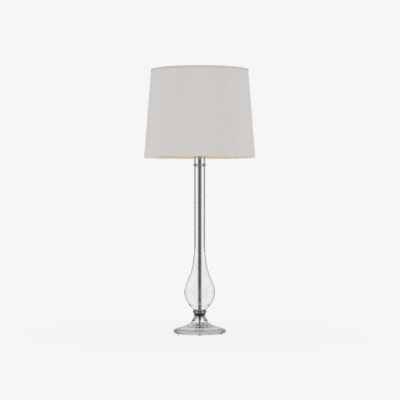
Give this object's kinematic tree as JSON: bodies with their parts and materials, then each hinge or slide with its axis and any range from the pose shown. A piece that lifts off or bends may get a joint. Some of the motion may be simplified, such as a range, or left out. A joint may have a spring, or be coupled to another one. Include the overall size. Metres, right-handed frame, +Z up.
{
  "type": "table lamp",
  "caption": "Candlestick table lamp: clear blown-glass foot and teardrop body on a nickel stem, tapered linen drum shade on a swivelling harp, stored cord",
  "frame": {"origin": "Centre of the glass foot on the table plane, on the lamp's turned axis", "axes": "+Z up, -Y the front (the side with the switch knob), +X to the right seen from the front"},
  "size_m": [0.355, 0.3639, 0.8415],
  "materials": {
    "clear_glass": "gloss",
    "clear_pad": "satin",
    "polished_nickel": "polished",
    "zinc_steel": "satin",
    "black_rubber": "matte",
    "fibre_card": "matte",
    "black_phenolic": "gloss",
    "brass_sheet": "satin",
    "silver_cord": "gloss",
    "frosted_glass": "satin",
    "linen_cloth": "matte",
    "styrene_lining": "matte",
    "white_wire": "satin"
  },
  "bodies": {
    "stand": {"bumper_feet": "clear_pad", "glass_foot": "clear_glass", "cord_grommet": "clear_pad", "cone_nut": "polished_nickel", "steel_washer": "polished_nickel", "rubber_washer": "black_rubber", "foot_gasket": "clear_pad", "waist_bushing": "polished_nickel", "glass_body": "clear_glass", "column_tube": "polished_nickel", "threaded_pipe": "zinc_steel", "neck_gasket": "clear_pad", "neck_cap": "polished_nickel", "check_nut": "polished_nickel", "harp_saddle": "polished_nickel", "socket_cap": "polished_nickel", "socket_set_screw": "zinc_steel", "socket_shell": "polished_nickel", "socket_liner": "fibre_card", "socket_core": "black_phenolic", "screw_shell": "brass_sheet", "centre_contact": "brass_sheet", "terminal_screws": "brass_sheet", "socket_leads": "silver_cord", "stem_cord": "silver_cord", "cord_run": "silver_cord", "cord_coil": "silver_cord", "cord_tail": "silver_cord", "cord_tie": "clear_pad", "plug_body": "silver_cord", "plug_blades": "brass_sheet"},
    "switch_key": {"switch_shaft": "zinc_steel", "key_knob": "black_phenolic"},
    "bulb": {"bulb_glass": "frosted_glass", "bulb_base": "zinc_steel", "bulb_insulator": "black_phenolic", "bulb_contact": "zinc_steel", "bulb_stem": "clear_glass"},
    "harp_loop": {"harp": "polished_nickel"},
    "right_sleeve": {"ferrule_right": "polished_nickel"},
    "left_sleeve": {"ferrule_left": "polished_nickel"},
    "swivel_stud": {"harp_stud": "zinc_steel"},
    "shade": {"shade_cloth": "linen_cloth", "shade_lining": "styrene_lining", "shade_spider": "white_wire", "shade_bottom_ring": "white_wire", "shade_top_trim": "linen_cloth", "shade_bottom_trim": "linen_cloth"},
    "top_nut": {"finial": "polished_nickel"}
  },
  "joints": [
    {"name": "switch_turn", "type": "hinge", "parent": "stand", "child": "switch_key", "pos_m": [0, -0.02, 0.6265], "axis": [0, -1, 0], "continuous": true},
    {"name": "bulb_turn", "type": "hinge", "parent": "stand", "child": "bulb", "pos_m": [0, 0, 0.66], "axis": [0, 0, 1], "continuous": true},
    {"name": "harp_lift", "type": "slide", "parent": "stand", "child": "harp_loop", "axis": [0, 0, 1], "range_m": [0, 0.012]},
    {"name": "right_sleeve_lift", "type": "slide", "parent": "harp_loop", "child": "right_sleeve", "axis": [0, 0, 1], "range_m": [0, 0.012]},
    {"name": "left_sleeve_lift", "type": "slide", "parent": "harp_loop", "child": "left_sleeve", "axis": [0, 0, 1], "range_m": [0, 0.012]},
    {"name": "shade_swivel", "type": "hinge", "parent": "harp_loop", "child": "swivel_stud", "pos_m": [0, 0, 0.816], "axis": [0, 0, 1], "continuous": true},
    {"name": "shade_lift", "type": "slide", "parent": "swivel_stud", "child": "shade", "axis": [0, 0, 1], "range_m": [0, 0.285]},
    {"name": "finial_turn", "type": "hinge", "parent": "shade", "child": "top_nut", "pos_m": [0, 0, 0.83], "axis": [0, 0, 1], "continuous": true}
  ]
}
